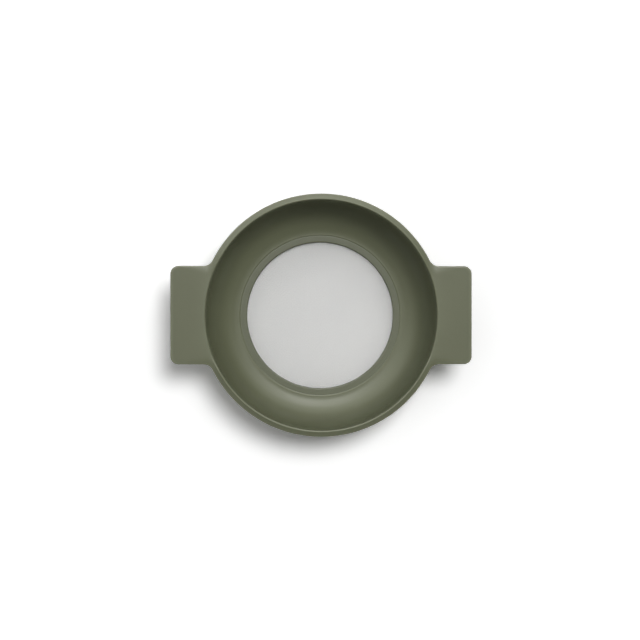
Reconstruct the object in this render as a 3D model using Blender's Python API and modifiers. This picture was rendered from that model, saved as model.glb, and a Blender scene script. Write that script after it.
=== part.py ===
"""A kitchen sieve: a moulded bowl with two tab handles, whose floor holds a disc of woven steel gauze.

The gauze lies between a clamp ring and a retaining ring, which snap into the bowl's foot from below.
Metres, +Z up. The origin is on the bowl's axis where the foot stands, and the handles lie along X.
"""

import math

import bmesh
import bpy
from mathutils import Matrix, Vector

# Overall sizes: heights are above the standing surface, radii are from the bowl's axis.
OVERALL_LENGTH = 0.3000
BOWL_HEIGHT = 0.0600
RIM_INNER_RADIUS = 0.1148
WALL_THICKNESS = 0.0028

# Lip: highest at its inner edge, falling away outwards.
LIP_WIDTH = 0.0063
LIP_HEIGHT = 0.0054
LIP_SLOPE = math.radians(27)
CREST_RADIUS = 0.0008
LIP_EDGE_RADIUS = 0.0012
LIP_FILLET_RADIUS = 0.0008

# Tab handles: flat plates that run out of the lip's slope, lower than its crest.
HANDLE_WIDTH = 0.0980
HANDLE_THICKNESS = 0.0030
HANDLE_DROP = 0.0022
HANDLE_CORNER_RADIUS = 0.0080
HANDLE_ROOT_RADIUS = 0.0100
HANDLE_EDGE_RADIUS = 0.0012
HANDLE_REACH_INTO_LIP = 0.0040
ROOT_REACH_INTO_LIP = 0.0003

# Floor and foot of the bowl.
FOOT_HEIGHT = 0.0086
FOOT_WALL = 0.0025
FOOT_FILLET_RADIUS = 0.0020
FOOT_EDGE_RADIUS = 0.0006
FLOOR_THICKNESS = 0.0024
FLOOR_LEDGE_WIDTH = 0.0043
FLOOR_EDGE_RADIUS = 0.0004
NOTCH_COUNT = 6
NOTCH_WIDTH = 0.0180
NOTCH_HEIGHT = 0.0030
NOTCH_CORNER_RADIUS = 0.0012
NOTCH_OVERCUT = 0.0020
BEAD_REACH = 0.0009
BEAD_HEIGHT = 0.0014

# Clamp ring above the gauze and retaining ring below it.
GAUZE_OPENING_RADIUS = 0.0752
LAND_WIDTH = 0.0063
LAND_THICKNESS = 0.0018
LAND_STEP = 0.0003
LAND_EDGE_RADIUS = 0.0003
LAND_INNER_ROUNDING = 0.0012
WEB_THICKNESS = 0.0015
FLANGE_WIDTH = 0.0046
FLANGE_THICKNESS = 0.0014
RING_CHAMFER = 0.0004

# Gauze: cross-laid wires at an angle to the handles, coarser than the cloth's real pitch of about 1 mm.
GAUZE_PITCH = 0.0080
GAUZE_TURN = math.radians(45)
GAUZE_WIRE = 0.0008
GAUZE_BITE = 0.00025

# Fits and facets.
CLEARANCE = 0.0003
WELD_DISTANCE = 0.000001
TURN_STEPS = 72
ARC_STEPS = 2
CORNER_STEPS = 5
WALL_STEPS = 11

# Radii and heights that follow from the sizes above.
RIM_OUTER_RADIUS = RIM_INNER_RADIUS + LIP_WIDTH
LIP_UNDERSIDE = BOWL_HEIGHT - LIP_HEIGHT
LAND_RADIUS = GAUZE_OPENING_RADIUS + LAND_WIDTH
FLOOR_OPENING_RADIUS = LAND_RADIUS + CLEARANCE
FLOOR_CURVE_RADIUS = FLOOR_OPENING_RADIUS + FLOOR_LEDGE_WIDTH
FLOOR_TOP = FOOT_HEIGHT + FLOOR_THICKNESS
FLANGE_RADIUS = LAND_RADIUS + FLANGE_WIDTH
FOOT_INNER_RADIUS = FLANGE_RADIUS + CLEARANCE
FOOT_OUTER_RADIUS = FOOT_INNER_RADIUS + FOOT_WALL
LAND_TOP = FLOOR_TOP - LAND_STEP
LAND_UNDERSIDE = LAND_TOP - LAND_THICKNESS
CLAMP_FLANGE_TOP = FOOT_HEIGHT - CLEARANCE
CLAMP_UNDERSIDE = CLAMP_FLANGE_TOP - FLANGE_THICKNESS
WEB_INNER_RADIUS = LAND_RADIUS - WEB_THICKNESS
GAUZE_RADIUS = WEB_INNER_RADIUS - CLEARANCE
GAUZE_TOP = LAND_UNDERSIDE - CLEARANCE
GAUZE_UNDERSIDE = GAUZE_TOP - 2 * GAUZE_WIRE + GAUZE_BITE
SUPPORT_TOP = GAUZE_UNDERSIDE - CLEARANCE
RETAINER_FLANGE_TOP = CLAMP_UNDERSIDE - CLEARANCE
RETAINER_UNDERSIDE = RETAINER_FLANGE_TOP - FLANGE_THICKNESS
BEAD_TOP = RETAINER_UNDERSIDE - CLEARANCE


def arc(centre, radius, start, end, steps):
    """Points on a circle from the start angle to the end angle, in radians."""
    angles = [start + (end - start) * step / steps for step in range(steps + 1)]
    return [Vector((centre[0] + radius * math.cos(a), centre[1] + radius * math.sin(a))) for a in angles]


def rounded(corners):
    """Closed outline through corners of the form (x, y, radius), each with its own rounding."""
    outline = []
    for index, (x, y, radius) in enumerate(corners):
        corner = Vector((x, y))
        if not radius:
            outline.append(corner)
            continue
        before = (Vector(corners[index - 1][:2]) - corner).normalized()
        after = (Vector(corners[(index + 1) % len(corners)][:2]) - corner).normalized()
        half_angle = before.angle(after) / 2
        centre = corner + (before + after).normalized() * radius / math.sin(half_angle)
        spoke = corner + before * radius / math.tan(half_angle) - centre
        sweep = spoke.angle_signed(corner + after * radius / math.tan(half_angle) - centre)
        for step in range(ARC_STEPS + 1):
            outline.append(centre + Matrix.Rotation(-sweep * step / ARC_STEPS, 2) @ spoke)
    return outline


def quarter_ellipse(width, height, top, steps):
    """Corners of a wall face from (FLOOR_CURVE_RADIUS + width, top) down to its foot, height lower."""
    angles = [math.pi / 2 * step / steps for step in range(steps + 1)]
    return [
        (FLOOR_CURVE_RADIUS + width * math.cos(a), top - height * math.sin(a), 0)
        for a in angles
    ]


def lip_corners():
    """The lip's section: crest, outer edge and underside, as far as the wall's outer face."""
    rounding_loss = CREST_RADIUS * ((1 + math.sin(LIP_SLOPE)) / math.cos(LIP_SLOPE) - 1)
    crest = BOWL_HEIGHT + rounding_loss
    edge = crest - LIP_WIDTH * math.tan(LIP_SLOPE)
    return [
        (RIM_INNER_RADIUS, crest, CREST_RADIUS),
        (RIM_OUTER_RADIUS, edge, LIP_EDGE_RADIUS),
        (RIM_OUTER_RADIUS, LIP_UNDERSIDE, LIP_EDGE_RADIUS),
        (RIM_INNER_RADIUS + WALL_THICKNESS, LIP_UNDERSIDE, LIP_FILLET_RADIUS),
    ]


def outer_wall_corners():
    """The wall's outer face below the lip, as far as the foot."""
    width = RIM_INNER_RADIUS + WALL_THICKNESS - FLOOR_CURVE_RADIUS
    height = LIP_UNDERSIDE - FOOT_HEIGHT
    wall = quarter_ellipse(width, height, LIP_UNDERSIDE, WALL_STEPS)
    share = max(0.0, FOOT_OUTER_RADIUS - FLOOR_CURVE_RADIUS) / width
    foot_joint = LIP_UNDERSIDE - height * math.sqrt(1 - share**2)
    clear_of_foot = [corner for corner in wall[1:] if corner[0] > FOOT_OUTER_RADIUS + FOOT_FILLET_RADIUS]
    return clear_of_foot + [(FOOT_OUTER_RADIUS, foot_joint, FOOT_FILLET_RADIUS)]


def foot_corners():
    """The foot's section: its standing edge, the snap bead inside it and the floor's underside."""
    bead_radius = FOOT_INNER_RADIUS - BEAD_REACH
    return [
        (FOOT_OUTER_RADIUS, 0, FOOT_EDGE_RADIUS),
        (FOOT_INNER_RADIUS, 0, FOOT_EDGE_RADIUS),
        (FOOT_INNER_RADIUS, BEAD_TOP - BEAD_HEIGHT, 0),
        (bead_radius, BEAD_TOP - BEAD_HEIGHT / 4, 0),
        (bead_radius, BEAD_TOP, 0),
        (FOOT_INNER_RADIUS, BEAD_TOP, 0),
        (FOOT_INNER_RADIUS, FOOT_HEIGHT, 0),
        (FLOOR_OPENING_RADIUS, FOOT_HEIGHT, 0),
        (FLOOR_OPENING_RADIUS, FLOOR_TOP, FLOOR_EDGE_RADIUS),
    ]


def inner_wall_corners():
    """The wall's inner face, from the floor's ledge up to the lip."""
    width = RIM_INNER_RADIUS - FLOOR_CURVE_RADIUS
    return quarter_ellipse(width, LIP_UNDERSIDE - FLOOR_TOP, LIP_UNDERSIDE, WALL_STEPS)[::-1]


def clamp_ring_corners():
    """The clamp ring's stepped section: a land in the floor's opening and a flange under the floor."""
    return [
        (LAND_RADIUS, LAND_TOP, LAND_EDGE_RADIUS),
        (LAND_RADIUS, CLAMP_FLANGE_TOP, 0),
        (FLANGE_RADIUS, CLAMP_FLANGE_TOP, 0),
        (FLANGE_RADIUS, CLAMP_UNDERSIDE, 0),
        (WEB_INNER_RADIUS, CLAMP_UNDERSIDE, 0),
        (WEB_INNER_RADIUS, LAND_UNDERSIDE, 0),
        (GAUZE_OPENING_RADIUS, LAND_UNDERSIDE, 0),
        (GAUZE_OPENING_RADIUS, LAND_TOP, LAND_INNER_ROUNDING),
    ]


def retaining_ring_corners():
    """The retaining ring's section: a flange held by the bead and a support under the gauze's edge."""
    return [
        (FLANGE_RADIUS, RETAINER_FLANGE_TOP, 0),
        (FLANGE_RADIUS, RETAINER_UNDERSIDE, RING_CHAMFER),
        (GAUZE_OPENING_RADIUS, RETAINER_UNDERSIDE, RING_CHAMFER),
        (GAUZE_OPENING_RADIUS, SUPPORT_TOP, 0),
        (GAUZE_RADIUS, SUPPORT_TOP, 0),
        (GAUZE_RADIUS, RETAINER_FLANGE_TOP, 0),
    ]


def handle_outline():
    """The outline of the tab at +X, with fillets that run into the lip at its root."""
    half_width = HANDLE_WIDTH / 2
    corner_x = OVERALL_LENGTH / 2 - HANDLE_CORNER_RADIUS
    corner_y = half_width - HANDLE_CORNER_RADIUS
    root_y = half_width + HANDLE_ROOT_RADIUS
    root_distance = RIM_OUTER_RADIUS - ROOT_REACH_INTO_LIP + HANDLE_ROOT_RADIUS
    root_x = math.sqrt(root_distance**2 - root_y**2)
    root_angle = math.atan2(root_y, root_x)
    quarter = math.pi / 2
    inner_radius = RIM_OUTER_RADIUS - HANDLE_REACH_INTO_LIP
    return [
        *arc((root_x, -root_y), HANDLE_ROOT_RADIUS, math.pi - root_angle, quarter, CORNER_STEPS),
        *arc((corner_x, -corner_y), HANDLE_CORNER_RADIUS, -quarter, 0, CORNER_STEPS),
        *arc((corner_x, corner_y), HANDLE_CORNER_RADIUS, 0, quarter, CORNER_STEPS),
        *arc((root_x, root_y), HANDLE_ROOT_RADIUS, -quarter, root_angle - math.pi, CORNER_STEPS),
        *arc((0, 0), inner_radius, root_angle, -root_angle, 2 * CORNER_STEPS),
    ]


def finish(name, colour, roughness, metallic=0.0):
    """A material of one colour, given in linear light."""
    material = bpy.data.materials.new(name)
    material.use_nodes = True
    shader = material.node_tree.nodes["Principled BSDF"]
    shader.inputs["Base Color"].default_value = (*colour, 1)
    shader.inputs["Roughness"].default_value = roughness
    shader.inputs["Metallic"].default_value = metallic
    return material


def place(name, mesh, collection, material=None):
    """An object of the mesh; one with no material is a tool for shaping others and isn't rendered."""
    piece = bpy.data.objects.new(name, mesh)
    collection.objects.link(piece)
    if material:
        mesh.materials.append(material)
    else:
        piece.hide_render = True
        piece.display_type = "WIRE"
    return piece


def turned(name, corners, collection, material):
    """A ring whose section is turned about Z."""
    outline = rounded(corners)
    mesh = bpy.data.meshes.new(name)
    edges = [(i, (i + 1) % len(outline)) for i in range(len(outline))]
    mesh.from_pydata([(point.x, 0, point.y) for point in outline], edges, [])
    ring = place(name, mesh, collection, material)
    screw = ring.modifiers.new("turn", "SCREW")
    screw.axis = "Z"
    screw.steps = TURN_STEPS
    screw.render_steps = TURN_STEPS
    screw.use_merge_vertices = True
    screw.merge_threshold = WELD_DISTANCE
    screw.use_smooth_shade = True
    return ring


def boolean(piece, tool, operation):
    """Joins the tool to the piece, or cuts it out."""
    modifier = piece.modifiers.new(tool.name, "BOOLEAN")
    modifier.operation = operation
    modifier.object = tool


def handle_tabs(collection):
    """Both tabs, with rounded edges: a filled outline with a bevel, mirrored to the other side."""
    curve = bpy.data.curves.new("tab_outline", "CURVE")
    curve.dimensions = "2D"
    curve.fill_mode = "BOTH"
    curve.extrude = HANDLE_THICKNESS / 2 - HANDLE_EDGE_RADIUS
    curve.bevel_depth = HANDLE_EDGE_RADIUS
    curve.bevel_resolution = 1
    curve.offset = -HANDLE_EDGE_RADIUS
    outline = handle_outline()
    spline = curve.splines.new("POLY")
    spline.points.add(len(outline) - 1)
    for point, corner in zip(spline.points, outline):
        point.co = (corner.x, corner.y, 0, 1)
    spline.use_cyclic_u = True
    guide = place("tab_outline", curve, collection)
    guide.location.z = BOWL_HEIGHT - HANDLE_DROP - HANDLE_THICKNESS / 2
    bpy.context.view_layer.update()
    mesh = bpy.data.meshes.new_from_object(guide.evaluated_get(bpy.context.evaluated_depsgraph_get()))
    shape = bmesh.new()
    shape.from_mesh(mesh)
    bmesh.ops.remove_doubles(shape, verts=shape.verts, dist=WELD_DISTANCE)
    shape.to_mesh(mesh)
    shape.free()
    tabs = place("handle_tabs", mesh, collection)
    tabs.matrix_world = guide.matrix_world
    bpy.data.objects.remove(guide)
    pair = tabs.modifiers.new("pair", "MIRROR")
    pair.use_mirror_merge = False
    return tabs


def drain_notches(collection):
    """Blocks round the foot that cut its drain notches."""
    shape = bmesh.new()
    middle = Matrix.Translation((FOOT_OUTER_RADIUS - FOOT_WALL / 2, 0, 0))
    size = Matrix.Diagonal((FOOT_WALL + 2 * NOTCH_OVERCUT, NOTCH_WIDTH, 2 * NOTCH_HEIGHT, 1))
    for index in range(NOTCH_COUNT):
        turn = Matrix.Rotation(2 * math.pi * index / NOTCH_COUNT, 4, "Z")
        bmesh.ops.create_cube(shape, size=1, matrix=turn @ middle @ size)
    mesh = bpy.data.meshes.new("drain_notches")
    shape.to_mesh(mesh)
    shape.free()
    notches = place("drain_notches", mesh, collection)
    bevel = notches.modifiers.new("corners", "BEVEL")
    bevel.width = NOTCH_CORNER_RADIUS
    bevel.segments = 2
    return notches


def wire_layer(name, axis, height):
    """Parallel wires across the gauze, each cut to the chord that it spans, as a mesh.

    The wires turn about the named axis from upright to lie flat, and run square to it. The layer is
    then turned about Z by the gauze's angle.
    """
    shape = bmesh.new()
    count = int((GAUZE_RADIUS - GAUZE_WIRE) / GAUZE_PITCH)
    side = Vector((1, 0, 0)) if axis == "X" else Vector((0, 1, 0))
    lie_flat = Matrix.Rotation(math.pi / 2, 4, axis)
    turn = Matrix.Rotation(GAUZE_TURN, 4, "Z")
    for index in range(-count, count + 1):
        offset = index * GAUZE_PITCH
        outer_side = abs(offset) + GAUZE_WIRE / 2
        shift = Matrix.Translation(side * offset + Vector((0, 0, height)))
        bmesh.ops.create_cone(
            shape,
            cap_ends=True,
            segments=4,
            radius1=GAUZE_WIRE / 2,
            radius2=GAUZE_WIRE / 2,
            depth=2 * math.sqrt(GAUZE_RADIUS**2 - outer_side**2),
            matrix=turn @ shift @ lie_flat,
        )
    mesh = bpy.data.meshes.new(name)
    shape.to_mesh(mesh)
    shape.free()
    return mesh


def build_bowl(parts, cutters):
    """The moulding: wall, lip, floor and foot as one turned shape, with its tabs and notches."""
    plastic = finish("bowl_plastic", (0.153, 0.165, 0.109), 0.45)
    corners = lip_corners() + outer_wall_corners() + foot_corners() + inner_wall_corners()
    bowl = turned("bowl", corners, parts, plastic)
    boolean(bowl, handle_tabs(cutters), "UNION")
    boolean(bowl, drain_notches(cutters), "DIFFERENCE")
    return bowl


def build_gauze(parts, cutters):
    """Two layers of wires that bite into each other where they cross."""
    steel = finish("gauze_steel", (0.56, 0.56, 0.56), 0.35, metallic=1.0)
    warp = wire_layer("strainer_gauze", "X", GAUZE_TOP - GAUZE_WIRE / 2)
    weft = wire_layer("gauze_weft", "Y", GAUZE_UNDERSIDE + GAUZE_WIRE / 2)
    gauze = place("strainer_gauze", warp, parts, steel)
    boolean(gauze, place("gauze_weft", weft, cutters), "UNION")
    return gauze


def main():
    """Clears the scene, then builds the sieve's pieces and hangs them on one empty."""
    for old in list(bpy.data.objects):
        bpy.data.objects.remove(old)
    parts = bpy.data.collections.new("sieve")
    cutters = bpy.data.collections.new("sieve_cutters")
    for collection in (parts, cutters):
        bpy.context.scene.collection.children.link(collection)
    base = bpy.data.objects.new("sieve_base", None)
    parts.objects.link(base)
    clamp_plastic = finish("clamp_ring_plastic", (0.140, 0.150, 0.100), 0.45)
    retainer_plastic = finish("retaining_ring_plastic", (0.140, 0.150, 0.100), 0.50)
    pieces = [
        build_bowl(parts, cutters),
        turned("clamp_ring", clamp_ring_corners(), parts, clamp_plastic),
        build_gauze(parts, cutters),
        turned("retaining_ring", retaining_ring_corners(), parts, retainer_plastic),
    ]
    for piece in pieces:
        piece.parent = base


main()
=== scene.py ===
"""The dressed sieve: a moulded bowl, a disc of woven steel gauze and the two rings that hold it.

Metres, +Z up. The origin is on the bowl's axis where the foot stands, and the handles lie along X.
"""

from __future__ import annotations

import logging
import math
from dataclasses import dataclass
from enum import Enum
from typing import Any

import bpy
import numpy as np
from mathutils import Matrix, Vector

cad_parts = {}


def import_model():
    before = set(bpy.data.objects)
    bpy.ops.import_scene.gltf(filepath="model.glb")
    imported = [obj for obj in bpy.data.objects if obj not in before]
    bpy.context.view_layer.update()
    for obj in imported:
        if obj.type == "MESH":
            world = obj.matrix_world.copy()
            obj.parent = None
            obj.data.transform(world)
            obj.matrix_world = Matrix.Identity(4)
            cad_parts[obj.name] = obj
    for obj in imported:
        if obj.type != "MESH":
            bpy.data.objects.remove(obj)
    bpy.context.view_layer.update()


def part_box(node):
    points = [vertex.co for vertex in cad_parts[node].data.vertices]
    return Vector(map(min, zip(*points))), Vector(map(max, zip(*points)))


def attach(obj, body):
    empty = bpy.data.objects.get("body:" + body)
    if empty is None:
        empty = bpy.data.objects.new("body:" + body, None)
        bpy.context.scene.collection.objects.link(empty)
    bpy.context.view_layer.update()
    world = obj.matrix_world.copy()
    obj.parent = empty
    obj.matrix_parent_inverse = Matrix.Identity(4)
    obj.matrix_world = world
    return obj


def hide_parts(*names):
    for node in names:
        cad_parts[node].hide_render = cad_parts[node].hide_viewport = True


LOG = logging.getLogger("sieve")
BODY = "root"
WEAR_AND_HIGHLIGHT = "wear_and_highlight"
Colour = tuple[float, float, float]


class Signal:
    """One output in a node tree; arithmetic on it adds Math nodes."""

    def __init__(self, tree: bpy.types.NodeTree, socket: bpy.types.NodeSocket) -> None:
        """Keeps the tree and the output socket."""
        self.tree = tree
        self.socket = socket

    def _math(self, operation: str, left: Signal | float, right: Signal | float) -> Signal:
        """Adds a Math node on two values.

        Args:
            operation: The Math node's operation.
            left: The first value.
            right: The second value.

        Returns:
            The node's result.
        """
        node = self.tree.nodes.new("ShaderNodeMath")
        node.operation = operation
        for socket, value in zip(node.inputs, (left, right)):
            if isinstance(value, Signal):
                self.tree.links.new(value.socket, socket)
            else:
                socket.default_value = value
        return Signal(self.tree, node.outputs[0])

    def __add__(self, other: Signal | float) -> Signal:
        """Sum of two values."""
        return self._math("ADD", self, other)

    __radd__ = __add__

    def __mul__(self, other: Signal | float) -> Signal:
        """Product of two values."""
        return self._math("MULTIPLY", self, other)

    __rmul__ = __mul__

    def __sub__(self, other: Signal | float) -> Signal:
        """This value less another."""
        return self._math("SUBTRACT", self, other)

    def __rsub__(self, other: Signal | float) -> Signal:
        """Another value less this one."""
        return self._math("SUBTRACT", other, self)

    def __or__(self, other: Signal | float) -> Signal:
        """The larger of two values."""
        return self._math("MAXIMUM", self, other)

    __ror__ = __or__


class Bench:
    """A node tree with one method that adds any node."""

    def __init__(self, tree: bpy.types.NodeTree) -> None:
        """Keeps the tree."""
        self.tree = tree

    def node(
        self,
        kind: str,
        settings: dict[str, Any] | None = None,
        sockets: dict[str | int, Any] | None = None,
        output: str | int = 0,
    ) -> Signal:
        """Adds a node, sets it up and fills its inputs.

        Args:
            kind: The node's type.
            settings: The node's own properties, set first.
            sockets: A value or a signal for each input, by name or number.
            output: The name or number of the output to return.

        Returns:
            That output.
        """
        node = self.tree.nodes.new(kind)
        for name, value in (settings or {}).items():
            setattr(node, name, value)
        for key, value in (sockets or {}).items():
            if isinstance(value, Signal):
                self.tree.links.new(value.socket, node.inputs[key])
            else:
                node.inputs[key].default_value = value
        return Signal(self.tree, node.outputs[output])

    def noise(self, place: Signal, scale: float, detail: float = 2.0) -> Signal:
        """Noise between 0 and 1, with about `scale` lumps to the metre."""
        sockets = {"Vector": place, "Scale": scale, "Detail": detail}
        return self.node("ShaderNodeTexNoise", None, sockets, "Fac")

    def ramp(self, value: Signal, low: float, high: float) -> Signal:
        """A smooth rise from 0 at `low` to 1 at `high`."""
        sockets = {"Value": value, "From Min": low, "From Max": high}
        return self.node("ShaderNodeMapRange", {"interpolation_type": "SMOOTHSTEP"}, sockets)

    def blend(self, share: Signal | float, first: Any, second: Any, mode: str = "MIX") -> Signal:
        """Mixes two colours, with `share` of the second."""
        settings = {"data_type": "RGBA", "blend_type": mode}
        return self.node("ShaderNodeMix", settings, {0: share, 6: first, 7: second}, 2)


def new_material(name: str) -> tuple[bpy.types.Material, Bench, bpy.types.Node]:
    """Starts a material.

    Args:
        name: The material's name.

    Returns:
        The material, a bench on its tree and its Principled shader.
    """
    material = bpy.data.materials.new(name)
    material.use_nodes = True
    return material, Bench(material.node_tree), material.node_tree.nodes["Principled BSDF"]


def feed(bench: Bench, shader: bpy.types.Node, inputs: dict[str, Signal | float]) -> None:
    """Fills a shader's inputs.

    Args:
        bench: The bench on the shader's tree.
        shader: The shader.
        inputs: A signal or a number for each input.
    """
    for name, value in inputs.items():
        if isinstance(value, Signal):
            bench.tree.links.new(value.socket, shader.inputs[name])
        else:
            shader.inputs[name].default_value = value


@dataclass(frozen=True)
class MouldedPlastic:
    """Satin plastic from a finely etched mould, rubbed smoother along its edges, where a lighter tone is
    partly wear and partly painted highlight.
    """

    name: str
    colour: Colour
    rubbed_and_highlit: Colour
    roughness: float = 0.5
    gloss: float = 0.3
    etching: float = 0.10
    etching_depth: float = 0.0004
    cloud_scale: float = 26.0
    rub_and_highlight_scale: float = 60.0
    mottle_scale: float = 240.0
    grain_scale: float = 1700.0
    scratch_turn: float = 0.5
    scratch_stretch: tuple[float, float, float] = (14.0, 900.0, 14.0)

    def material(self) -> bpy.types.Material:
        """Makes the finish: cloudy tint, fine etched grain, hairline scratches and rubbed edges lightened
        partly as wear and partly as painted highlight.

        Returns:
            The material.
        """
        material, bench, shader = new_material(self.name)
        place = bench.node("ShaderNodeTexCoord", output="Object")
        cloud = bench.noise(place, self.cloud_scale, 3.0)
        grain = bench.noise(place, self.grain_scale, 2.0)
        mottle = bench.noise(place, self.mottle_scale, 3.0)
        wear_and_highlight = bench.node("ShaderNodeAttribute", {"attribute_name": WEAR_AND_HIGHLIGHT}, output="Fac")
        rubbed_and_highlit = wear_and_highlight * (0.5 + 0.5 * bench.noise(place, self.rub_and_highlight_scale, 2.0))
        turn = (0.0, 0.0, self.scratch_turn)
        drawn_out = {"Vector": place, "Rotation": turn, "Scale": self.scratch_stretch}
        stretched = bench.node("ShaderNodeMapping", None, drawn_out)
        scratches = bench.ramp(bench.noise(stretched, 1.0, 1.0), 0.66, 0.74)
        shade = 0.90 + 0.10 * cloud + 0.06 * grain + 0.04 * mottle
        # Lighter tone along the rubbing attribute: partly wear, partly painted highlight on crests, edges and
        # lip.
        tint = bench.blend(rubbed_and_highlit * 0.75, (*self.colour, 1.0), (*self.rubbed_and_highlit, 1.0))
        colour = bench.blend(1.0, tint, shade, "MULTIPLY")
        roughness = self.roughness - 0.05 + 0.10 * cloud + 0.05 * mottle - 0.10 * rubbed_and_highlit - 0.06 * scratches
        height = grain + 0.35 * mottle - 0.25 * scratches
        relief = {"Strength": self.etching, "Distance": self.etching_depth, "Height": height}
        bump = bench.node("ShaderNodeBump", None, relief, "Normal")
        feed(bench, shader, {"Base Color": colour, "Roughness": roughness, "Normal": bump})
        shader.inputs["Specular IOR Level"].default_value = self.gloss
        return material


@dataclass(frozen=True)
class WovenSteel:
    """Drawn stainless wire with painted shade where the wires dip under each other."""

    name: str
    crown_tone: Colour
    dip_shade: Colour
    middle: float
    wire: float
    roughness: float = 0.32
    stain_scale: float = 38.0
    streak_scale: float = 900.0

    def material(self) -> bpy.types.Material:
        """Makes the finish: wire tone on the crowns, painted shade in the dips, streaks along the cloth and a
        slight stain.

        Returns:
            The material.
        """
        material, bench, shader = new_material(self.name)
        place = bench.node("ShaderNodeTexCoord", output="Object")
        height = bench.node("ShaderNodeSeparateXYZ", None, {"Vector": place}, "Z")
        crown = bench.ramp(height, self.middle - self.wire, self.middle + self.wire)
        stain = bench.noise(place, self.stain_scale, 3.0)
        streak = bench.noise(place, self.streak_scale, 2.0)
        # Painted shade: darker where the wires dip, by height.
        share = bench.ramp(crown + 0.5 * streak - 0.25, 0.15, 0.75)
        shade = 0.92 + 0.10 * stain + 0.06 * streak
        tint = bench.blend(share, (*self.dip_shade, 1.0), (*self.crown_tone, 1.0))
        colour = bench.blend(1.0, tint, shade, "MULTIPLY")
        roughness = self.roughness + 0.14 * stain + 0.10 * streak - 0.08 * crown
        feed(bench, shader, {"Base Color": colour, "Roughness": roughness, "Metallic": 1.0})
        return material


@dataclass(frozen=True)
class PaleGround:
    """Matt white ground: one tone for what is seen of it, a darker one for the light that it sends back."""

    name: str = "pale_ground"
    seen: float = 1.40
    returned: float = 0.80

    def material(self) -> bpy.types.Material:
        """Makes the ground's finish.

        Returns:
            The material.
        """
        material, bench, shader = new_material(self.name)
        place = bench.node("ShaderNodeTexCoord", output="Object")
        tone = self.returned + (self.seen - self.returned) * looked_at(bench)
        shade = tone * (0.99 + 0.02 * bench.noise(place, 3.0))
        feed(bench, shader, {"Base Color": shade, "Roughness": 0.9, "Specular IOR Level": 0.0})
        return material


def looked_at(bench: Bench) -> Signal:
    """1 for what is seen straight on, in gloss or through glass, and 0 for the light that it gives."""
    rays = ("Is Camera Ray", "Is Glossy Ray", "Is Transmission Ray")
    camera, gloss, through = (bench.node("ShaderNodeLightPath", output=name) for name in rays)
    return camera | gloss | through


def quad_mesh(name: str, points: np.ndarray, quads: np.ndarray, sharp: float) -> bpy.types.Mesh:
    """Mesh of four-sided faces, smooth but for edges sharper than an angle.

    The faces are turned over together if the signed volume, the sum of each corner triple's product
    over six, comes out negative, so that they point outwards.

    Args:
        name: The mesh's name.
        points: The points, one row each.
        quads: The faces, as four point numbers each.
        sharp: The angle in degrees.

    Returns:
        The mesh.
    """
    a, b, c, d = (points[quads[:, k]] for k in range(4))
    volume = np.sum(a * np.cross(b, c)) + np.sum(a * np.cross(c, d))
    mesh = bpy.data.meshes.new(name)
    mesh.from_pydata(points, [], quads if volume > 0 else quads[:, ::-1])
    mesh.update()
    mesh.shade_smooth()
    mesh.set_sharp_from_angle(angle=math.radians(sharp))
    return mesh


def closed_surface(name: str, grid: np.ndarray, sharp: float = 40.0) -> bpy.types.Mesh:
    """Mesh over a grid of points that closes on itself both ways.

    The quad at (i, j) joins it to (i + 1, j), (i + 1, j + 1) and (i, j + 1), counted round.

    Args:
        name: The mesh's name.
        grid: Points as rows, columns and coordinates.
        sharp: The angle in degrees past which an edge is left sharp.

    Returns:
        The mesh.
    """
    index = np.arange(grid.shape[0] * grid.shape[1]).reshape(grid.shape[:2])
    below = np.roll(index, -1, axis=0)
    quads = np.stack([index, below, np.roll(below, -1, axis=1), np.roll(index, -1, axis=1)], axis=-1)
    return quad_mesh(name, grid.reshape(-1, 3), quads.reshape(-1, 4), sharp)


def rounded_section(corners: np.ndarray, steps: int, closed: bool = True) -> np.ndarray:
    """Outline through corners of the form (radius, height, rounding), each rounded by an arc.

    With a and b the directions from a corner to its neighbours and h half the angle between them, the
    arc's centre lies on the bisector, rounding / sin h away, and its ends rounding / tan h along a and b.
    The arc turns evenly from one end to the other.

    Args:
        corners: The corners in order, one row each.
        steps: The steps in each arc.
        closed: Whether the outline closes; if not, its first and last corners are left out.

    Returns:
        The outline's points as (radius, height).
    """
    corner, rounding = corners[:, :2], corners[:, 2:]
    a = np.roll(corner, 1, axis=0) - corner
    b = np.roll(corner, -1, axis=0) - corner
    a /= np.linalg.norm(a, axis=1, keepdims=True)
    b /= np.linalg.norm(b, axis=1, keepdims=True)
    half = np.arccos(np.clip(np.sum(a * b, axis=1, keepdims=True), -1, 1)) / 2
    bisector = (a + b) / np.linalg.norm(a + b, axis=1, keepdims=True)
    centre = corner + bisector * rounding / np.sin(half)
    start = corner + a * rounding / np.tan(half) - centre
    end = corner + b * rounding / np.tan(half) - centre
    sweep = np.arctan2(start[:, 0] * end[:, 1] - start[:, 1] * end[:, 0], np.sum(start * end, axis=1))
    angle = np.arctan2(start[:, 1], start[:, 0])[:, None] + sweep[:, None] * np.linspace(0, 1, steps + 1)
    arcs = centre[:, None, :] + rounding[:, None, :] * np.stack([np.cos(angle), np.sin(angle)], axis=-1)
    return (arcs if closed else arcs[1:-1]).reshape(-1, 2)


def refined(section: np.ndarray, step: float) -> np.ndarray:
    """Closed outline with its straight runs cut evenly into pieces no longer than a step.

    Args:
        section: The outline's points as (radius, height).
        step: The longest piece.

    Returns:
        The points of the finer outline.
    """
    ahead = np.roll(section, -1, axis=0) - section
    pieces = np.maximum(np.ceil(np.linalg.norm(ahead, axis=1) / step), 1).astype(int)
    start = np.repeat(np.arange(len(section)), pieces)
    share = (np.arange(len(start)) - np.repeat(np.cumsum(pieces) - pieces, pieces)) / pieces[start]
    return section[start] + share[:, None] * ahead[start]


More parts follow.
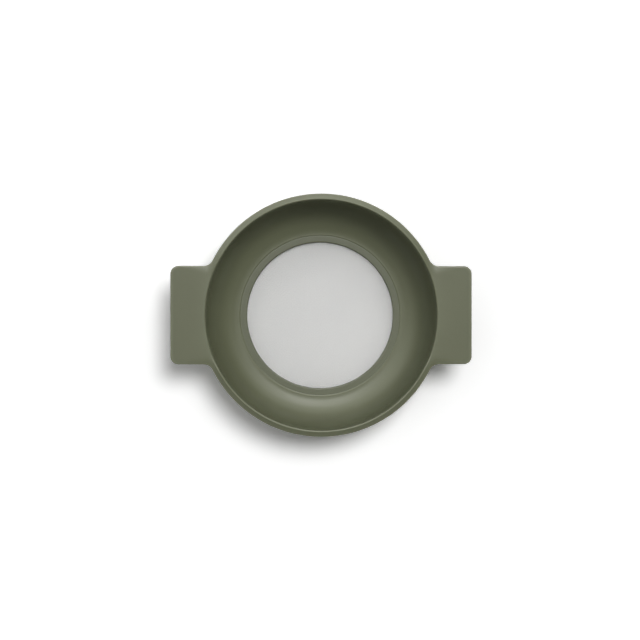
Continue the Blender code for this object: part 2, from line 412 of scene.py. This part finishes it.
def turned(section: np.ndarray, angles: np.ndarray) -> np.ndarray:
    """Grid of points: each (radius, height) of a section, carried round Z through the angles."""
    radius, height = section[:, :1], section[:, 1:]
    flat = np.broadcast_to(height, (len(section), len(angles)))
    return np.stack([radius * np.cos(angles), radius * np.sin(angles), flat], axis=-1)


def smooth_rise(x: np.ndarray) -> np.ndarray:
    """0 below 0, 1 above 1 and 3 x squared less 2 x cubed between."""
    x = np.clip(x, 0.0, 1.0)
    return x * x * (3.0 - 2.0 * x)


def add_piece(mesh: bpy.types.Mesh, material: bpy.types.Material, node: str) -> bpy.types.Object:
    """Puts a finished mesh into the model.

    Args:
        mesh: The mesh, in place.
        material: Its finish.
        node: The solid that it stands for.

    Returns:
        The piece.
    """
    piece = bpy.data.objects.new(mesh.name, mesh)
    bpy.context.scene.collection.objects.link(piece)
    mesh.materials.append(material)
    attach(piece, BODY)
    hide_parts(node)
    LOG.info("%s: %d faces, %s", piece.name, len(mesh.polygons), material.name)
    return piece


@dataclass
class Bowl:
    """The moulded bowl: lip, tab handles, curved wall, floor ledge and foot, in one piece."""

    length: float
    height: float
    rim_radius: float
    inner_radius: float = 0.1148
    wall: float = 0.0028
    lip_underside: float = 0.0546
    lip_slope: float = math.radians(27)
    crest_radius: float = 0.0012
    handle_crest_radius: float = 0.0013
    handle_flare: float = 0.0006
    handle_dip: float = 0.0015
    handle_slope: float = math.radians(2)
    edge_radius: float = 0.0012
    edge_wear_and_highlight_reach: float = 0.0007
    lip_fillet: float = 0.0008
    handle_width: float = 0.0980
    handle_underside: float = 0.0548
    handle_levelling: float = 0.0040
    handle_wear_and_highlight_reach: float = 0.0070
    lip_wear_and_painted_light: float = 0.36
    handle_wear_and_highlight: float = 0.40
    corner_radius: float = 0.0080
    root_radius: float = 0.0100
    root_blend: float = math.radians(3.5)
    curve_radius: float = 0.0861
    opening_radius: float = 0.0818
    floor_top: float = 0.0110
    floor_edge: float = 0.0003
    floor_bevel_width: float = 0.0010
    floor_bevel_depth: float = 0.0004
    floor_wear_and_highlight: float = 0.9
    floor_wear_and_highlight_reach: float = 0.0008
    floor_lift: float = 0.0009
    floor_lift_reach: float = 0.0095
    foot_height: float = 0.0086
    foot_inner_radius: float = 0.0864
    foot_outer_radius: float = 0.0889
    foot_fillet: float = 0.0020
    foot_edge: float = 0.0006
    corner_break: float = 0.00012
    bead_radius: float = 0.0855
    bead_top: float = 0.0049
    bead_height: float = 0.0014
    notch_count: int = 6
    notch_width: float = 0.0180
    notch_height: float = 0.0030
    notch_corner: float = 0.0012
    notch_clearance: float = 0.0001
    notch_flank_turn: float = 0.0003
    quarter_steps: tuple[int, ...] = (5, 6, 1, 9, 12, 10, 12, 22, 1, 6, 8, 6, 1, 18)
    inner_rows: int = 41
    outer_rows: int = 24
    ledge_rows: int = 8
    crest_rows: int = 14
    top_rows: int = 26
    edge_rows: int = 7
    below_rows: int = 7

    def angles(self) -> np.ndarray:
        """Angles round the axis, closest at the notches' sides and the handles' corners and roots.

        The first quarter's angles lie evenly between the knots where the outline or the foot changes.
        Mirrored twice, they make the full turn.

        Returns:
            The angles, from 0 to just under a full turn.
        """
        foot = (self.foot_inner_radius + self.foot_outer_radius) / 2
        flat, side = (self.notch_width / 2 - self.notch_corner) / foot, self.notch_width / 2 / foot
        past = side + self.notch_flank_turn
        pitch = 2 * math.pi / self.notch_count
        knots = [0, flat, side, past, *self.outline_knots(), pitch - past, pitch - side, pitch - flat]
        knots += [pitch + flat, pitch + side, pitch + past, math.pi / 2]
        marks = np.concatenate([[0], np.cumsum(self.quarter_steps)])
        quarter = np.interp(np.arange(marks[-1] + 1), marks, knots)
        half = np.concatenate([quarter, math.pi - quarter[-2::-1]])
        return np.concatenate([half, 2 * math.pi - half[-2:0:-1]])

    def outline_knots(self) -> tuple[float, float, float, float]:
        """Angles at which the outline passes from end to corner, side, root and rim.

        Returns:
            The four angles, from the smallest.
        """
        corner_x, corner_y = self.length / 2 - self.corner_radius, self.handle_width / 2 - self.corner_radius
        root_x, root_y = self.root_centre()
        return (
            math.atan2(corner_y, self.length / 2),
            math.atan2(self.handle_width / 2, corner_x),
            math.atan2(self.handle_width / 2, root_x),
            math.atan2(root_y, root_x),
        )

    def root_centre(self) -> tuple[float, float]:
        """Centre of the fillet between the handle's side and the rim, which it touches."""
        y = self.handle_width / 2 + self.root_radius
        return math.sqrt((self.rim_radius + self.root_radius) ** 2 - y**2), y

    def outline(self, angles: np.ndarray) -> tuple[np.ndarray, np.ndarray]:
        """The edge of lip and handles seen from above.

        In the first quarter a ray at each angle meets the handle's end, its corner arc, its side, its
        root arc or the rim circle, whichever lies in that part of the turn. A ray meets a circle where
        its distance is b + or - the root of b squared - c squared + r squared, b being the centre's
        distance along the ray and c its distance from the axis.

        Args:
            angles: The angles of the rays.

        Returns:
            Points on the outline, and its outward normals.
        """
        ray = np.stack([np.abs(np.cos(angles)), np.abs(np.sin(angles))], axis=-1)
        turn = np.arctan2(ray[:, 1], ray[:, 0])
        corner = np.array([self.length / 2 - self.corner_radius, self.handle_width / 2 - self.corner_radius])
        root = np.array(self.root_centre())
        along_corner, along_root = ray @ corner, ray @ root
        to_corner = np.sqrt(np.maximum(along_corner**2 - corner @ corner + self.corner_radius**2, 0))
        to_root = np.sqrt(np.maximum(along_root**2 - root @ root + self.root_radius**2, 0))
        knots = self.outline_knots()
        parts = [turn < knots[0], turn < knots[1], turn < knots[2], turn < knots[3]]
        end = self.length / 2 / np.maximum(ray[:, 0], 1e-9)
        side = self.handle_width / 2 / np.maximum(ray[:, 1], 1e-9)
        reach = np.select(parts, [end, along_corner + to_corner, side, along_root - to_root], self.rim_radius)
        points = reach[:, None] * ray
        across = [
            np.broadcast_to([1.0, 0.0], ray.shape),
            (points - corner) / self.corner_radius,
            np.broadcast_to([0.0, 1.0], ray.shape),
            (root - points) / self.root_radius,
        ]
        normals = np.select([part[:, None] for part in parts], across, ray)
        signs = np.stack([np.sign(np.cos(angles)), np.sign(np.sin(angles))], axis=-1)
        return points * signs, normals * signs

    def notch_lift(self, angles: np.ndarray) -> np.ndarray:
        """Height of the drain notches over the standing surface, 0 between them.

        Measured along the foot from the nearest notch's middle, a notch is a flat-topped opening whose
        upper corners are quarter circles.

        Args:
            angles: The angles round the axis.

        Returns:
            The height at each angle.
        """
        pitch = 2 * math.pi / self.notch_count
        foot = (self.foot_inner_radius + self.foot_outer_radius) / 2
        off = np.abs((angles + pitch / 2) % pitch - pitch / 2) * foot
        into = np.clip(off - self.notch_width / 2 + self.notch_corner, 0, self.notch_corner)
        lift = self.notch_height - self.notch_corner + np.sqrt(self.notch_corner**2 - into**2)
        return np.where(off < self.notch_width / 2 + 1e-6, lift, 0.0)

    def wall_section(self, width: float, drop: float, angles: np.ndarray) -> np.ndarray:
        """Quarter ellipse below the lip: width times the cosine outwards, drop times the sine down."""
        radius = self.curve_radius + width * np.cos(angles)
        return np.stack([radius, self.lip_underside - drop * np.sin(angles)], axis=-1)

    def outside_section(self) -> np.ndarray:
        """Section from below the lip down the wall's outer face, round the foot and up to the floor's edge.

        The wall's quarter ellipse runs into the foot through an arc that touches both: its centre is where
        the ellipse, moved out by the arc's radius along its normal, lies that radius outside the foot.

        Returns:
            The section's points as (radius, height).
        """
        width = self.inner_radius + self.wall - self.curve_radius
        drop = self.lip_underside - self.foot_height
        sweep = np.linspace(0.03, math.pi / 2, 400)
        ellipse = self.wall_section(width, drop, sweep)
        normal = np.stack([drop * np.cos(sweep), -width * np.sin(sweep)], axis=-1)
        normal /= np.linalg.norm(normal, axis=1, keepdims=True)
        moved = ellipse + self.foot_fillet * normal
        centre_radius = self.foot_outer_radius + self.foot_fillet
        touch = np.interp(centre_radius, moved[::-1, 0], sweep[::-1])
        centre = np.array([centre_radius, np.interp(touch, sweep, moved[:, 1])])
        lean = np.array([np.interp(touch, sweep, normal[:, k]) for k in range(2)])
        wall = self.wall_section(width, drop, np.linspace(sweep[0], touch, self.outer_rows))
        bend = np.linspace(math.atan2(-lean[1], -lean[0]), math.pi, 7)[1:]
        fillet = centre + self.foot_fillet * np.stack([np.cos(bend), np.sin(bend)], axis=-1)
        face_height = np.linspace(fillet[-1, 1], 0.0, 8)[1:6]
        face = np.stack([np.full(len(face_height), self.foot_outer_radius), face_height], axis=-1)
        small = self.corner_break
        foot = rounded_section(
            np.array([
                [self.foot_outer_radius, self.foot_height, small],
                [self.foot_outer_radius, 0.0, self.foot_edge],
                [self.foot_inner_radius, 0.0, self.foot_edge],
                [self.foot_inner_radius, self.bead_top - self.bead_height, small],
                [self.bead_radius, self.bead_top - self.bead_height / 4, small],
                [self.bead_radius, self.bead_top, small],
                [self.foot_inner_radius, self.bead_top, small],
                [self.foot_inner_radius, self.foot_height, small],
                [self.opening_radius, self.foot_height, small],
                [self.opening_radius, self.floor_top - self.floor_bevel_depth, small],
                [self.opening_radius + self.floor_bevel_width, self.floor_top, self.floor_edge],
                [self.curve_radius, self.floor_top, small],
            ]),
            steps=5,
            closed=False,
        )
        return np.concatenate([wall, fillet, face, foot])

    def inside_section(self) -> np.ndarray:
        """Section from the floor's edge over the ledge and up the wall's inner face to the lip's underside.

        The ledge is dished: a smooth lift starts at the opening and reaches its full height a little way
        up the wall, where it fades with the height that is left below the lip.

        Returns:
            The section's points as (radius, height).
        """
        depth = self.lip_underside - self.floor_top
        start = self.opening_radius + self.floor_bevel_width + self.floor_edge
        ledge_radius = np.linspace(start, self.curve_radius, self.ledge_rows)
        ledge = np.stack([ledge_radius, np.full(self.ledge_rows, self.floor_top)], axis=-1)
        sweep = np.linspace(math.pi / 2, 0.0, self.inner_rows + 1)[1:]
        wall = self.wall_section(self.inner_radius - self.curve_radius, depth, sweep)
        section = np.concatenate([ledge, wall])
        lift = self.floor_lift * smooth_rise((section[:, 0] - start) / self.floor_lift_reach)
        section[:, 1] += lift * (self.lip_underside - section[:, 1]) / depth
        return section

    def handle_share(self, angles: np.ndarray) -> np.ndarray:
        """0 on the lip and 1 on a handle, with a smooth rise past both ends of the root arc."""
        turn = np.arctan2(np.abs(np.sin(angles)), np.abs(np.cos(angles)))
        side, rim = self.outline_knots()[2:]
        return smooth_rise((rim + self.root_blend - turn) / (rim - side + 2 * self.root_blend))

    def top_fall(self, rise: np.ndarray, tab: np.ndarray) -> np.ndarray:
        """How far the top lies below the crest.

        On the lip it falls at the lip's slope. On a handle it starts at the handle's slope, which then
        fades by a factor of e with each levelling length. The two are blended by the handle's share.

        Args:
            rise: The distance outwards from the crest.
            tab: The handle's share, 0 on the lip and 1 on a handle.

        Returns:
            The fall at each point.
        """
        lip = math.tan(self.lip_slope) * np.minimum(rise, self.rim_radius - self.inner_radius)
        fade = 1.0 - np.exp(-rise / self.handle_levelling)
        handle = math.tan(self.handle_slope) * self.handle_levelling * fade
        return (1.0 - tab) * lip + tab * handle

    def grid(self) -> tuple[np.ndarray, np.ndarray]:
        """The moulding's surface, and how much each point is lightened as wear and painted highlight.

        Rows run once round the section and columns round the axis. Wall, floor and foot are turned. The
        crest is an arc from the wall to the top's slope, lower and set a little outwards at the handles.
        From it the top runs straight out to the outline moved in by the edge's radius, arcs round the edge
        along the outline's normal, and returns below to the wall. At the drain notches the lowest part of
        the foot is pressed up between the notch's height and a level below the bead.

        Crest and edges are rubbed most, and the lip, the handles near the crest and the floor's edge are
        lightened too; this tone is partly wear and partly painted highlight. From the edges and the floor's
        edge it fades by a factor of e with each reach.

        Returns:
            The points by row and column, and the rubbing and painted highlight by row and column.
        """
        angles = self.angles()
        ray = np.stack([np.cos(angles), np.sin(angles)], axis=-1)
        outline, normal = self.outline(angles)
        tab = self.handle_share(angles)
        slope = (1.0 - tab) * self.lip_slope

        end = self.lip_slope + tab * (self.handle_slope - self.lip_slope)
        bend = -math.pi / 2 + (end + math.pi / 2) * np.linspace(0, 1, self.crest_rows)[:, None]
        rounding = self.crest_radius + tab * (self.handle_crest_radius - self.crest_radius)
        crest_reach = self.inner_radius + tab * self.handle_flare + rounding * (1 + np.sin(bend))
        crest_height = self.height - tab * self.handle_dip - rounding * (1 - np.cos(bend))
        crest = np.concatenate([crest_reach[..., None] * ray, crest_height[..., None]], axis=-1)

        core = outline - self.edge_radius * normal
        brink = core + (self.edge_radius * np.sin(slope))[:, None] * normal
        share = np.linspace(0, 1, self.top_rows + 1)[1:, None, None]
        plan = crest[-1, :, :2] + share * (brink - crest[-1, :, :2])
        run = np.linalg.norm(plan, axis=-1) - crest_reach[-1]
        top_height = crest_height[-1] - self.top_fall(run, tab)
        top = np.concatenate([plan, top_height[..., None]], axis=-1)
        # Lip top, handles near the crest and the outer edge get a lighter tone, partly wear and partly
        # painted light.
        gripped_and_highlit = self.handle_wear_and_highlight * np.exp(-run / self.handle_wear_and_highlight_reach)
        brink_wear_and_highlight = np.exp(-(run[-1] - run) / self.edge_wear_and_highlight_reach)
        top_wear_and_highlight = np.maximum(brink_wear_and_highlight, (1.0 - tab) * self.lip_wear_and_painted_light + tab * gripped_and_highlit)

        upper = slope + (math.pi / 2 - slope) * np.linspace(0, 1, self.edge_rows + 1)[1:, None]
        upper_height = top_height[-1] - self.edge_radius * (np.cos(slope) - np.cos(upper))
        underside = self.lip_underside + tab * (self.handle_underside - self.lip_underside)
        lower = np.linspace(math.pi / 2, math.pi, self.edge_rows)[:, None]
        lower_height = underside + self.edge_radius * (1 + np.cos(lower))
        around = np.concatenate([upper, np.broadcast_to(lower, upper.shape)])
        edge_plan = core + self.edge_radius * np.sin(around)[..., None] * normal
        edge = np.concatenate([edge_plan, np.concatenate([upper_height, lower_height])[..., None]], axis=-1)

        fillet_start = (self.inner_radius + self.wall + self.lip_fillet) * ray
        share = np.linspace(0, 1, self.below_rows + 1)[1:, None, None]
        below_plan = core + share * (fillet_start - core)
        below_height = np.broadcast_to(underside[:, None], (*below_plan.shape[:2], 1))
        below = np.concatenate([below_plan, below_height], axis=-1)
        bend = np.linspace(math.pi / 2, math.pi, 6)[1:, None, None]
        fillet_plan = fillet_start + self.lip_fillet * np.cos(bend) * ray
        fillet_height = underside[:, None] - self.lip_fillet * (1 - np.sin(bend))
        fillet = np.concatenate([fillet_plan, fillet_height], axis=-1)

        outside = turned(self.outside_section(), angles)
        limit = self.bead_top - self.bead_height - self.notch_clearance
        low = np.clip(outside[..., 2], 0, limit)
        outside[..., 2] += self.notch_lift(angles) * (1 - low / limit)
        blocks = [turned(self.inside_section(), angles), crest, top, edge, below, fillet, outside]
        wear_and_highlight = [np.zeros(block.shape[:2]) for block in blocks]
        # Crest and edge arcs: lighter tone, partly wear and partly painted highlight.
        wear_and_highlight[1][:] = np.linspace(1.0, 0.5, len(crest))[:, None]
        wear_and_highlight[2][:] = top_wear_and_highlight
        wear_and_highlight[3][:] = np.concatenate([np.ones(self.edge_rows), np.linspace(0.9, 0.0, self.edge_rows)])[:, None]
        # Floor's edge: a lighter line, partly wear and partly painted highlight.
        for block, rubbed_and_highlit in ((blocks[0], wear_and_highlight[0]), (blocks[6], wear_and_highlight[6])):
            radius = np.linalg.norm(block[..., :2], axis=-1)
            away = np.hypot(radius - self.opening_radius, block[..., 2] - self.floor_top)
            rubbed_and_highlit[:] = self.floor_wear_and_highlight * np.exp(-away / self.floor_wear_and_highlight_reach)
        return np.concatenate(blocks), np.concatenate(wear_and_highlight)

    def build(self, finish: MouldedPlastic) -> bpy.types.Object:
        """Makes the bowl and dresses it.

        Args:
            finish: The bowl's finish.

        Returns:
            The piece.
        """
        grid, wear_and_highlight = self.grid()
        mesh = closed_surface("bowl_moulding", grid, sharp=35.0)
        mesh.attributes.new(WEAR_AND_HIGHLIGHT, "FLOAT", "POINT").data.foreach_set("value", wear_and_highlight.astype(np.float32).ravel())
        return add_piece(mesh, finish.material(), "bowl")


@dataclass
class Ring:
    """A plastic ring turned from a section with softened corners, lightened along the first one as wear and
    painted highlight.
    """

    name: str
    node: str
    slot: str
    corners: tuple[tuple[float, float, float], ...]
    columns: int = 360
    arc_steps: int = 5
    face_step: float = 0.0007
    wear_and_highlight_reach: float = 0.0007

    def build(self, finish: MouldedPlastic) -> bpy.types.Object:
        """Makes the ring and dresses it; the wear and painted highlight fade by a factor of e with each
        reach.

        Args:
            finish: The ring's finish.

        Returns:
            The piece.
        """
        corners = np.array(self.corners)
        section = refined(rounded_section(corners, self.arc_steps), self.face_step)
        angles = np.linspace(0, 2 * math.pi, self.columns, endpoint=False)
        mesh = closed_surface(self.name, turned(section, angles))
        # Lighter tone at the first corner: partly wear, partly painted highlight.
        wear_and_highlight = np.exp(-np.linalg.norm(section - corners[0, :2], axis=1) / self.wear_and_highlight_reach)
        values = np.repeat(wear_and_highlight.astype(np.float32), self.columns)
        mesh.attributes.new(WEAR_AND_HIGHLIGHT, "FLOAT", "POINT").data.foreach_set("value", values)
        return add_piece(mesh, finish.material(), self.node)


class Lay(Enum):
    """The two sets of wires in the cloth, with the angle that each runs at and the side it starts on."""

    WARP = (0.0, 1.0)
    WEFT = (math.pi / 2, -1.0)


@dataclass
class Gauze:
    """The disc of plain-woven steel cloth."""

    radius: float = 0.0797
    middle: float = 0.0082
    pitch: float = 0.0010
    wire: float = 0.00040
    turn: float = math.radians(45)
    sides: int = 4
    map_gap: float = 0.1

    def wires(self, lay: Lay) -> tuple[np.ndarray, np.ndarray, np.ndarray]:
        """One set of wires, each cut to its chord of the disc.

        Wire k lies k pitches off the middle. Along it, at q, the centre line's height is half a wire
        times cos(pi q / pitch), with the sign of the wire's own place, so that it passes over one
        crossing wire and under the next. A ring of points stands at each crossing, moved in to the
        chord's end where it would pass it; faces between rings that fell together are left out.

        Args:
            lay: Which set of wires.

        Returns:
            The points, the faces, and each face corner's place in the flat map.
        """
        count = int((self.radius - self.wire) / self.pitch)
        steps = np.arange(-count - 1, count + 2)
        offset = np.arange(-count, count + 1)[:, None] * self.pitch
        chord = np.sqrt(self.radius**2 - (np.abs(offset) + self.wire / 2) ** 2)
        along = np.clip(steps[None, :] * self.pitch, -chord, chord)
        side = lay.value[1] * np.where(np.arange(-count, count + 1) % 2 == 0, 1.0, -1.0)[:, None]
        centre = self.middle + side * self.wire / 2 * np.cos(math.pi * along / self.pitch)
        around = np.arange(self.sides) * 2 * math.pi / self.sides
        across = offset[..., None] + self.wire / 2 * np.sin(around)
        height = centre[..., None] + self.wire / 2 * np.cos(around)
        shape = height.shape
        length = np.broadcast_to(along[..., None], shape)
        across = np.broadcast_to(across, shape)
        heading = self.turn + lay.value[0]
        x = length * math.cos(heading) - across * math.sin(heading)
        y = length * math.sin(heading) + across * math.cos(heading)
        points = np.stack([x, y, height], axis=-1).reshape(-1, 3)

        index = np.arange(points.shape[0]).reshape(shape)
        kept = np.diff(along, axis=1) > 1e-6
        one, two = index[:, :-1], index[:, 1:]
        tubes = np.stack([one, two, np.roll(two, -1, axis=2), np.roll(one, -1, axis=2)], axis=-1)[kept]
        first = np.argmax(kept, axis=1)
        last = kept.shape[1] - np.argmax(kept[:, ::-1], axis=1)
        row = np.arange(len(first))
        caps = np.concatenate([index[row, first], index[row, last][:, ::-1]])
        quads = np.concatenate([tubes.reshape(-1, 4), caps])
        cap_along = np.concatenate([along[row, first], along[row, last]])
        used, quads = np.unique(quads, return_inverse=True)
        return points[used], quads.reshape(-1, 4), self.flat_map(along, kept, cap_along)

    def flat_map(self, along: np.ndarray, kept: np.ndarray, cap_along: np.ndarray) -> np.ndarray:
        """Each face corner's place in a flat map, where the wires' sides lie as strips side by side.

        Side s of wire k lies at (k + s / sides) / wires, with a gap to the next, and runs from 0 to 1 over
        the disc's width. A cap is one point in its wire's first strip.

        Args:
            along: The rings' places along each wire.
            kept: Which stretches between rings have faces.
            cap_along: The caps' places, first all at the wires' starts and then all at their ends.

        Returns:
            The places, by face, corner and coordinate.
        """
        wires = len(kept)
        wire, ring = np.nonzero(kept)
        low = (wire[:, None] + np.arange(self.sides) / self.sides) / wires
        high = low + (1.0 - self.map_gap) / (self.sides * wires)
        start = along[wire, ring][:, None] + np.zeros(self.sides)
        end = along[wire, ring + 1][:, None] + np.zeros(self.sides)
        tubes = np.stack([np.stack([start, end, end, start], -1), np.stack([low, low, high, high], -1)], -1)
        caps = np.zeros((len(cap_along), 4, 2))
        caps[:, :, 0] = cap_along[:, None]
        caps[:, :, 1] = np.tile((np.arange(wires) + self.map_gap) / wires, 2)[:, None]
        flat = np.concatenate([tubes.reshape(-1, 4, 2), caps])
        flat[..., 0] = flat[..., 0] / (2 * self.radius) + 0.5
        return flat

    def build(self, lay: Lay, finish: WovenSteel) -> bpy.types.Object:
        """Makes one set of wires and dresses it.

        Args:
            lay: Which set of wires.
            finish: The wire's finish.

        Returns:
            The piece.
        """
        points, quads, flat = self.wires(lay)
        mesh = quad_mesh(f"gauze_{lay.name.lower()}", points, quads, sharp=100.0)
        turned_over = mesh.polygons[0].vertices[0] != quads[0, 0]
        corners = flat[:, ::-1] if turned_over else flat
        mesh.uv_layers.new(name="OFBake").data.foreach_set("uv", corners.astype(np.float32).ravel())
        return add_piece(mesh, finish.material(), "strainer_gauze")


@dataclass(frozen=True)
class Lamp:
    """A broad, far lamp: where it stands, how wide it looks and its share of the ground's light."""

    name: str
    azimuth: float
    elevation: float
    spread: float
    level: float
    lights: bool = True
    glints: bool = True

    def build(self) -> None:
        """Makes the lamp; on level ground it gives white its level of brightness."""
        data = bpy.data.lights.new(self.name, "SUN")
        data.energy = self.level * math.pi / math.sin(math.radians(self.elevation))
        data.angle = math.radians(self.spread)
        lamp = bpy.data.objects.new(self.name, data)
        turn, lift = math.radians(self.azimuth), math.radians(self.elevation)
        towards = Vector((math.cos(turn) * math.cos(lift), math.sin(turn) * math.cos(lift), math.sin(lift)))
        lamp.rotation_euler = towards.to_track_quat("Z", "Y").to_euler()
        lamp.visible_diffuse = self.lights
        lamp.visible_glossy = self.glints
        bpy.context.scene.collection.objects.link(lamp)


@dataclass
class Studio:
    """White ground, soft lamps, even room light and a camera overhead, tilted by a hair."""

    lamps: tuple[Lamp, ...] = (
        Lamp("key_lamp", azimuth=56.0, elevation=70.0, spread=24.0, level=0.405, glints=False),
        Lamp("side_lamp", azimuth=45.0, elevation=55.0, spread=34.0, level=0.145, glints=False),
        Lamp("window_lamp", azimuth=150.0, elevation=45.0, spread=80.0, level=0.136, glints=False),
        Lamp("gloss_panel", azimuth=102.0, elevation=33.0, spread=96.0, level=0.82, lights=False),
        Lamp("gloss_lamp", azimuth=84.0, elevation=64.0, spread=18.0, level=0.55, lights=False),
    )
    room_level: float = 0.095
    ground_half_width: float = 3.0
    ground_gap: float = 0.0002
    camera_height: float = 1.560
    camera_offset: tuple[float, float] = (-0.0450, -0.0048)
    camera_tilt: float = math.radians(1.66)
    lens: float = 85.0

    def build(self) -> None:
        """Makes ground, lamps, room light and camera."""
        self.build_ground(PaleGround())
        for lamp in self.lamps:
            lamp.build()
        self.build_room()
        self.build_camera()

    def build_ground(self, finish: PaleGround) -> None:
        """Makes the ground: a square just under the foot, on a grid of two by two points.

        Args:
            finish: The ground's finish.
        """
        side = np.array([-1.0, 1.0]) * self.ground_half_width
        x, y = np.meshgrid(side, side)
        points = np.stack([x, y, np.full((2, 2), -self.ground_gap)], axis=-1).reshape(-1, 3)
        mesh = bpy.data.meshes.new("ground")
        mesh.from_pydata(points, [], [(0, 1, 3, 2)])
        mesh.materials.append(finish.material())
        ground = bpy.data.objects.new("ground", mesh)
        bpy.context.scene.collection.objects.link(ground)

    def build_room(self) -> None:
        """Makes the room's light: even on the object, white where it is looked at."""
        world = bpy.data.worlds.new("room")
        world.use_nodes = True
        bench = Bench(world.node_tree)
        shader = world.node_tree.nodes["Background"]
        level = self.room_level + (1.0 - self.room_level) * looked_at(bench)
        feed(bench, shader, {"Color": (1.0, 1.0, 1.0, 1.0), "Strength": level})
        bpy.context.scene.world = world

    def build_camera(self) -> None:
        """Makes the camera, which looks down with +Y up in the picture, tilted a little towards +X."""
        data = bpy.data.cameras.new("overhead")
        data.lens = self.lens
        data.sensor_width = 36.0
        camera = bpy.data.objects.new("overhead", data)
        camera.location = (*self.camera_offset, self.camera_height)
        camera.rotation_euler = (0.0, -self.camera_tilt, 0.0)
        bpy.context.scene.collection.objects.link(camera)
        bpy.context.scene.camera = camera


def clamp_ring() -> Ring:
    """The ring above the gauze: a land in the floor's opening and a flange under the floor.

    Returns:
        The ring.
    """
    soft = 0.0001
    return Ring(
        "clamp_ring_moulding",
        "clamp_ring",
        "clamp_ring_plastic",
        (
            (0.08174, 0.0106, soft),
            (0.08174, 0.0083, soft),
            (0.0861, 0.0083, 0.0003),
            (0.0861, 0.0069, soft),
            (0.0800, 0.0069, soft),
            (0.0800, 0.0089, soft),
            (0.0747, 0.0089, soft),
            (0.0747, 0.0106, 0.0012),
        ),
    )


def retaining_ring() -> Ring:
    """The ring below the gauze: a flange that the foot's bead holds and a support for the gauze's edge.

    Returns:
        The ring.
    """
    soft = 0.0001
    return Ring(
        "retaining_ring_moulding",
        "retaining_ring",
        "retaining_ring_plastic",
        (
            (0.0861, 0.0066, 0.0002),
            (0.0861, 0.0052, 0.0004),
            (0.0752, 0.0052, 0.0004),
            (0.0752, 0.00695, 0.0002),
            (0.0797, 0.00695, soft),
            (0.0797, 0.0066, soft),
        ),
    )


def main() -> None:
    """Loads the frame, reads the bowl's size from it, builds and dresses each piece and sets up the studio.
    """
    logging.basicConfig(level=logging.INFO, format="%(name)s: %(message)s")
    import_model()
    bpy.context.scene.view_settings.view_transform = "Standard"
    low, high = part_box("bowl")
    # Second colour: lighter tone for rubbed edges and painted highlight.
    olive = MouldedPlastic("olive_moulding", (0.109, 0.118, 0.067), (0.212, 0.225, 0.145), roughness=0.38)
    ring_olive = MouldedPlastic("olive_ring", (0.112, 0.121, 0.076), (0.165, 0.176, 0.118), roughness=0.38)
    Bowl(length=high[0] - low[0], height=high[2], rim_radius=high[1]).build(olive)
    clamp_ring().build(ring_olive)
    gauze = Gauze()
    # Wire colours: crown tone, then painted shade in the dips.
    steel = WovenSteel("gauze_wire", (0.55, 0.55, 0.54), (0.39, 0.39, 0.38), gauze.middle, gauze.wire)
    for lay in Lay:
        gauze.build(lay, steel)
    retaining_ring().build(ring_olive)
    Studio().build()


if __name__ == "__main__":
    main()
